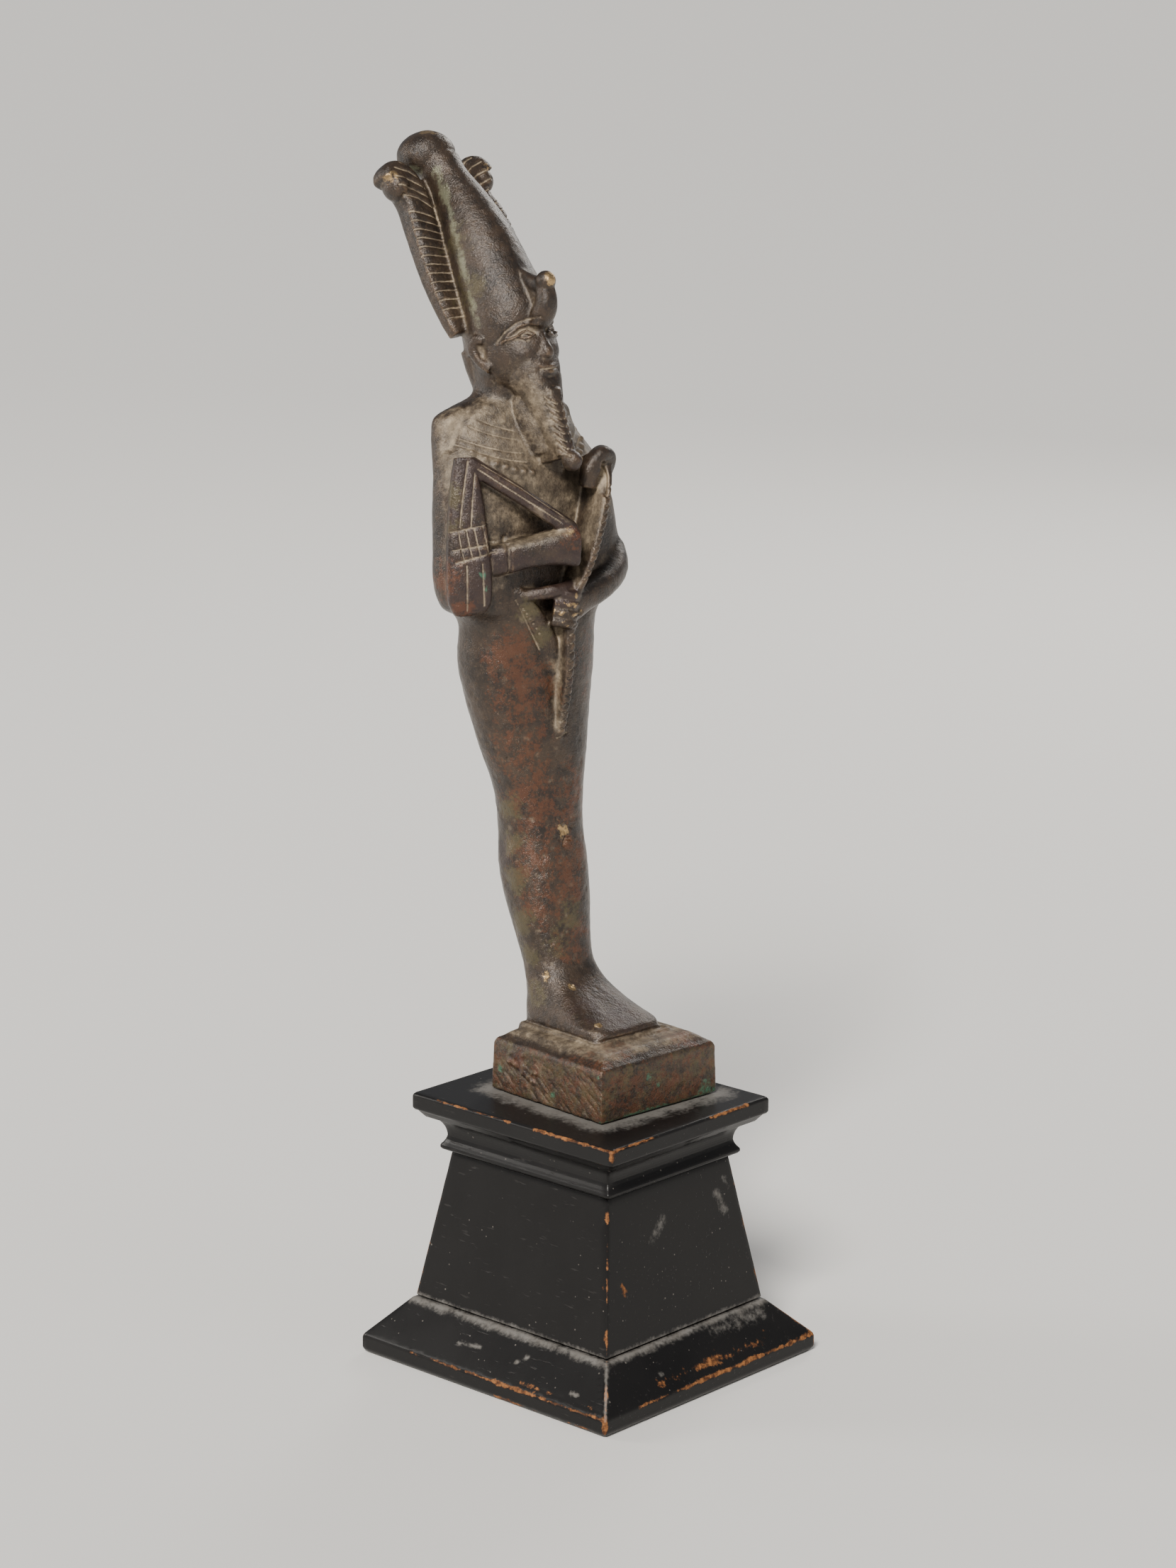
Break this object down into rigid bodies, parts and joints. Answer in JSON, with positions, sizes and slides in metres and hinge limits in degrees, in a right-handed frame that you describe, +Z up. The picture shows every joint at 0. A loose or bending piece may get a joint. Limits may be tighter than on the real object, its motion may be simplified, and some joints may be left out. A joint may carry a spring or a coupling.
{
  "type": "osiris statue",
  "caption": "Bronze Osiris statuette, mummy-form with crown, crook and flail, cast with a square base and set on a tapered black wooden stand.",
  "frame": {"origin": "middle of the wooden stand's underside", "axes": "+Z up, -Y the way the figure faces, +X the figure's left"},
  "size_m": [0.0614, 0.0876, 0.2329],
  "materials": {
    "bronze": "dark brown patina with dust in the recesses",
    "ebonised_wood": "ebonised, semi-gloss, worn at the edges"
  },
  "bodies": {
    "root": {"figure": "bronze", "stand_body": "ebonised_wood", "stand_cap": "ebonised_wood", "stand_foot": "ebonised_wood"}
  },
  "joints": []
}
